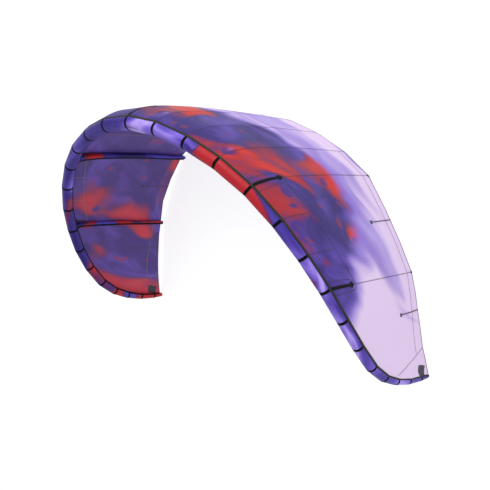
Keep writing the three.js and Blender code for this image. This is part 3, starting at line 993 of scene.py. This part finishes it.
def hosePath(spec, sign):
    row = rows[spec["row"]]
    endD = row["radius"] + hoseCut["reach"]
    centre, upWay, r = strutCentre(spec, endD / row["chord"])
    endW = (r + hoseCut["radius"]) * sin(hoseCut["side"])
    endU = (centre - row["centre"]).dot(row["up"]) + (r + hoseCut["radius"]) * cos(hoseCut["side"])

    def place(d, u, w):
        return row["centre"] + row["back"] * d + row["up"] * u + row["side"] * w

    inward = rows[max(1, spec["row"] - 1)]
    share = spec["hoseOut"] / (inward["centre"] - row["centre"]).length
    spare = 0.0001 + (inward["radius"] - row["radius"]) * share
    first = clearOfEdge(spec["row"], place(0, -row["radius"] * 0.25, -spec["hoseOut"]), spare)
    halfWay = row["radius"] + hoseCut["reach"] / 2
    path = [
        first + row["back"] * 0.001,
        first + row["back"] * 0.010,
        first + row["back"] * 0.024,
        place(halfWay, (endU - row["radius"] * 0.25) / 2 - 0.010, -spec["hoseOut"] * 0.8),
        place(endD - 0.028, endU - 0.006, -endW - 0.010),
        place(endD, endU, -endW),
    ]
    return [mirrored(p, sign) for p in path]


def pathTube(name, points, radius, around, steps, start=0.0, end=1.0):
    # a round tube along part of a path
    rings, lays = [], []
    angles = roundAngles(around)
    length = 0.0
    before = None
    u = Vector((0.3, 0.2, 1))     # any way but the path's own
    for i in range(steps + 1):
        t = start + (end - start) * i / steps
        centre = pathPoint(points, t)
        way = (pathPoint(points, min(1, t + 0.01)) - pathPoint(points, max(0, t - 0.01))).normalized()
        u = square(u, way)
        length += (centre - before).length if before else 0.0
        before = centre
        rings.append(ringOf(centre, u, way.cross(u), radius, angles))
        lays.append(ringLay(length, radius, angles))
    return loft(name, rings, lays)


def makeHose(spec, sign, name):
    path = hosePath(spec, sign)
    hose = pathTube("hose" + name, path, hoseCut["radius"], hoseCut["around"], hoseCut["steps"])
    finished(hose, "hose", 40, hoseRubber)
    replacesSolid(hose)
    for end, (start, stop) in hoseCut["clips"].items():
        radius = hoseCut["radius"] + hoseCut["clipOver"]
        clip = pathTube(hose.name + "Clip" + end, path, radius, hoseCut["clipAround"], 4, start, stop)
        applyModifier(clip, "BEVEL", width=0.0006, segments=2, limit_method="ANGLE")
        finished(clip, "hose", 40, barCloth)


for strut in everyStrut:
    makeHose(*strut)
print("hoses made")

# flat trims on the canopy: nose bars, battens, tip patches, seams and hems

noseBarCut = {
    "halves": [(0, 0.013), (0.05, 0.013), (0.1, 0.012), (0.146, 0.011), (0.1465, 0.011), (0.158, 0.024),
               (0.165, 0.0255), (0.172, 0.024), (0.186, 0.007)],
    "start": 0.004, "length": 0.186,
    "lift": 0.0018, "thick": 0.0014, "steps": 40,
}


def stripPatch(line, halfAt, lift, across=4, onCloth=False):
    # a strip of cloth along a line of (row, share) points; onCloth lays it out as the canopy lies
    points, lay = [], []
    length = 0.0
    for i, (n, share) in enumerate(line):
        a = line[max(0, i - 1)]
        b = line[min(len(line) - 1, i + 1)]
        sideWay = (canopyPoint(*b) - canopyPoint(*a)).cross(canopyNormal(n, share)).normalized()
        outward, inward = min(tip, n + 0.02), max(-tip, n - 0.02)
        rowWay = canopyPoint(outward, share) - canopyPoint(inward, share)
        spanStep = rowWay.length / (outward - inward)
        rowWay.normalize()
        backWay = canopyPoint(n, min(1, share + 0.01)) - canopyPoint(n, max(0, share - 0.01))
        backWay.normalize()
        chord = max(0.02, chordAt(n))
        half = halfAt(i / (len(line) - 1))
        if i:
            length += (canopyPoint(n, share) - canopyPoint(*line[i - 1])).length
        linePoints, lineLay = [], []
        for j in range(across + 1):
            # the sideways step is taken in rows and shares, so that the strip stays on the cloth
            w = half * (2 * j / across - 1)
            cross = rowWay.dot(backWay)
            p, q = w * sideWay.dot(rowWay), w * sideWay.dot(backWay)
            spread = max(0.05, 1 - cross * cross)
            n2 = min(tip, max(-tip, n + (p - cross * q) / spread / spanStep))
            s2 = min(1, max(0, share + (q - cross * p) / spread / chord))
            linePoints.append(canopyAt(n2, s2, lift))
            lineLay.append((spanAt(n2), s2 * chord, 0) if onCloth else (length, w, 0))
        points.append(linePoints)
        lay.append(lineLay)
    return points, lay


def steppedLine(corners, step=0.02):
    # the corners of a seam joined by short steps
    line = []
    for a, b in zip(corners, corners[1:]):
        size = (canopyPoint(*b) - canopyPoint(*a)).length
        count = max(2, int(size / step))
        for i in range(count):
            t = i / count
            line.append((a[0] + (b[0] - a[0]) * t, a[1] + (b[1] - a[1]) * t))
    line.append(corners[-1])
    return line


def makeNoseBar(spec, sign, name):
    start, length, steps = noseBarCut["start"], noseBarCut["length"], noseBarCut["steps"]
    line = [(spec["row"] * sign, start + (length - start) * i / steps) for i in range(steps + 1)]
    patch = stripPatch(line, lambda t: between(noseBarCut["halves"], length * t), noseBarCut["lift"])
    replacesSolid(trim("noseBar" + name, [patch], noseBarCut["thick"], "reinforcement", 40, barCloth))


for strut in everyStrut:
    makeNoseBar(*strut)

# battens in their sleeves, at the trailing edge between the struts and beyond them
battenTable = [
    {"name": "Inner", "frontRow": 5.38, "rearRow": 5.34, "front": 0.735},
    {"name": "Outer", "frontRow": 8.65, "rearRow": 8.94, "front": 0.64},
]
battenCut = {
    "half": 0.0042, "innerHalf": 0.0036, "rear": 0.997, "sleeve": 0.0024, "lift": 0.0033,
    "head": 0.016, "headLength": 0.032, "headLift": 0.0021,
    "innerLift": -0.0027,
    "button": 0.0065, "buttonThick": 0.003,
}


def makeButton(name, place, lift):
    # the flat button that closes the head of a batten's sleeve, riveted through the cloth
    radius, thick = battenCut["button"], battenCut["buttonThick"]
    bpy.ops.mesh.primitive_cylinder_add(vertices=32, radius=radius, depth=thick)
    obj = bpy.context.active_object
    obj.name = name
    out = standUp(canopyAt(*place, 1.0)) - standUp(canopyAt(*place, 0.0))
    obj.rotation_euler = out.to_track_quat("Z", "Y").to_euler()
    obj.location = standUp(canopyAt(*place, lift))
    bpy.ops.object.transform_apply(location=True, rotation=True, scale=True)
    applyModifier(obj, "BEVEL", width=0.0008, segments=2, limit_method="ANGLE")
    finished(obj, "batten_sleeve", 40, hoseRubber)


def makeBatten(spec, sign, side):
    front, rear = (sign * spec["frontRow"], spec["front"]), (sign * spec["rearRow"], battenCut["rear"])
    line = steppedLine([front, rear], 0.012)
    head = battenCut["headLength"] / (canopyPoint(*front) - canopyPoint(*rear)).length
    shares = [head * (i - 1) / 4 for i in range(5)]
    headLine = [(front[0] + (rear[0] - front[0]) * t, front[1] + (rear[1] - front[1]) * t) for t in shares]
    patches = [
        stripPatch(line, lambda t: battenCut["half"], battenCut["lift"]),
        stripPatch(headLine, lambda t: battenCut["head"], battenCut["headLift"]),
        stripPatch(line, lambda t: battenCut["innerHalf"], battenCut["innerLift"]),
    ]
    name = spec["name"] + side
    replacesSolid(trim("batten" + name, patches, battenCut["sleeve"], "batten_sleeve", 40, battenCloth))
    makeButton("battenButton" + name, headLine[2], battenCut["lift"])
    makeButton("battenRivet" + name, headLine[2], battenCut["innerLift"])


for spec in battenTable:
    for sign, side in sides:
        makeBatten(spec, sign, side)

# the dark patch that carries the rear line, on both faces of each tip
tipPatchCut = {
    "corners": [(12.8, 0.57), (13.7, 0.79), (14.38, 0.03), (13.78, 0.05)],
    "lift": 0.0012, "thick": 0.0012,
}


def quadPatch(corners, sign, lift, count=14):
    a, b, c, d = [Vector(corner) for corner in corners]
    points, lay = [], []
    for i in range(count + 1):
        u = i / count
        line, flat = [], []
        for j in range(count + 1):
            v = j / count
            n, share = a.lerp(b, v).lerp(d.lerp(c, v), u)
            line.append(canopyAt(sign * n, share, lift))
            flat.append((u * 0.2, v * 0.1, 0))
        points.append(line)
        lay.append(flat)
    return points, lay


for sign, side in sides:
    outerFace = quadPatch(tipPatchCut["corners"], sign, tipPatchCut["lift"])
    innerFace = quadPatch(tipPatchCut["corners"], sign, -shape["cloth"] - tipPatchCut["lift"])
    faces = [outerFace, innerFace]
    replacesSolid(trim("tipPatch" + side, faces, tipPatchCut["thick"], "reinforcement", 40, patchCloth))

# seams of the panels, on both faces: each is a list of (row, share) corners of the right half
seamLines = [
    [(1, 0.004), (1, 1)],
    [(2, 0.004), (2, 1)],
    [(3, 0.004), (3, 1)],
    [(4, 0.186), (4, 0.985)],
    [(7, 0.186), (7, 0.985)],
    [(5, 0.004), (5, 0.200)],
    [(6, 0.004), (6, 0.203)],
    [(4, 0.186), (4.5, 0.192), (5, 0.2), (6, 0.203), (7, 0.212)],
    [(3, 0.932), (4, 0.932), (5, 0.932), (6, 0.93), (7, 0.925), (8.9, 0.87), (10.4, 0.79), (11.7, 0.72)],
    [(11.95, 0.998), (11.55, 0.06)],
]
# the reinforcement's stitched outline round a nose bar: metres to the side of the row, and share
outline = [(-0.068, 0.004), (-0.062, 0.07), (-0.054, 0.14), (-0.042, 0.187), (-0.018, 0.203), (0.0, 0.206),
           (0.018, 0.203), (0.042, 0.187), (0.054, 0.14), (0.062, 0.07), (0.068, 0.004)]
seamCut = {"half": 0.0042, "lift": 0.0004, "thick": 0.0006}


def outlineLine(row):
    corners = []
    for w, share in outline:
        within = row + 0.01 if w > 0 or row == 0 else row - 0.01
        corners.append((row + w / rowWidth(within, share), share))
    return steppedLine(corners, 0.008)


def makeSeams(name, lift, finish):
    lines = [outlineLine(row) for row in (-7, -4, 0, 4, 7)]
    lines.append(steppedLine([(0, 0.186), (0, 0.985)], 0.025))
    for sign in (1, -1):
        lines += [steppedLine([(sign * n, s) for n, s in corners], 0.025) for corners in seamLines]
    patches = [stripPatch(line, lambda t: seamCut["half"], lift, 2, True) for line in lines]
    return trim(name, patches, seamCut["thick"], "canopy_cloth", 40, finish)


seamLift = seamCut["lift"] + seamCut["thick"] / 2
seamsOutside = makeSeams("panelSeamsOutside", seamLift, seamOutside)
seamsInside = makeSeams("panelSeamsInside", -shape["cloth"] - seamLift, seamInside)

# the hem along the trailing edge, folded over the cloth, and a dark patch on it at each strut
hemCut = {"width": 0.010, "lift": 0.0004, "thick": 0.0006, "perRow": 10, "end": 14.95}
trailPatchCut = {"half": 0.014, "frontHalf": 0.0084, "length": 0.026, "lift": 0.0022, "thick": 0.0014}


def makeHem():
    points, lay = [], []
    outer, inner = hemCut["lift"], -shape["cloth"] - hemCut["lift"]
    for i, n in enumerate(acrossSpan(hemCut["end"], hemCut["perRow"])):
        reach = min(0.5, hemCut["width"] / max(0.03, chordAt(n)))
        inward = (canopyPoint(n, 1) - canopyPoint(n, 0.98)).normalized()
        fold = canopyPoint(n, 1.0) - canopyNormal(n, 1.0) * shape["cloth"] * 0.5 + inward * 0.0008
        shares = (1 - reach, 1 - reach * 0.5, 1.0)
        line = [canopyAt(n, share, outer) for share in shares]
        line.append(fold)
        line += [canopyAt(n, share, inner) for share in reversed(shares)]
        points.append(line)
        lay.append([(0.03 * (i + 1), 0.003 * j, 0) for j in range(7)])
    return trim("trailingHem", [(points, lay)], hemCut["thick"], "canopy_cloth", 50, hemTape)


def makeTrailPatches():
    patches = []
    halves = [(0, trailPatchCut["frontHalf"]), (1, trailPatchCut["half"])]
    for k in (-7, -4, 0, 4, 7):
        reach = trailPatchCut["length"] / chordAt(k)
        line = [(k, 1 - reach * (1 - i / 4)) for i in range(5)]
        patches.append(stripPatch(line, lambda t: between(halves, t), trailPatchCut["lift"]))
    return trim("trailingPatches", patches, trailPatchCut["thick"], "reinforcement", 40, barCloth)


trailingHem = makeHem()
trailPatches = makeTrailPatches()
print("trims, seams and hems made")

# floor, light and background


def makeFloor():
    bpy.ops.mesh.primitive_plane_add(size=120, location=(0, 0, 0))
    floorPlane = bpy.context.active_object
    floorPlane.name = "paleFloor"
    pale = Finish("paleFloor")
    pale.finish(colour="#b4b4b6", rough=0.9, specular=0.0, glow="#ffffff", glowPower=0.72)
    floorPlane.data.materials.append(pale.material)


def areaLight(name, place, target, size, power):
    data = bpy.data.lights.new(name, "AREA")
    data.size = size
    data.energy = power
    obj = bpy.data.objects.new(name, data)
    bpy.context.scene.collection.objects.link(obj)
    obj.location = place
    obj.rotation_euler = (Vector(target) - Vector(place)).to_track_quat("-Z", "Y").to_euler()


makeFloor()
areaLight("skyPanel", (2.0, 6.0, 5.5), (0, 0.2, 0.8), 5.0, 330)
areaLight("frontPanel", (5.5, -3.0, 4.0), (0, 0, 0.9), 5.0, 90)
areaLight("leftPanel", (-6.0, -1.0, 4.0), (0, 0, 0.9), 5.0, 30)
world = bpy.data.worlds.new("studio")
bpy.context.scene.world = world
world.use_nodes = True
world.node_tree.nodes["Background"].inputs["Color"].default_value = (1, 1, 1, 1)
world.node_tree.nodes["Background"].inputs["Strength"].default_value = 0.6
bpy.context.scene.view_settings.view_transform = "Standard"
print("studio made")
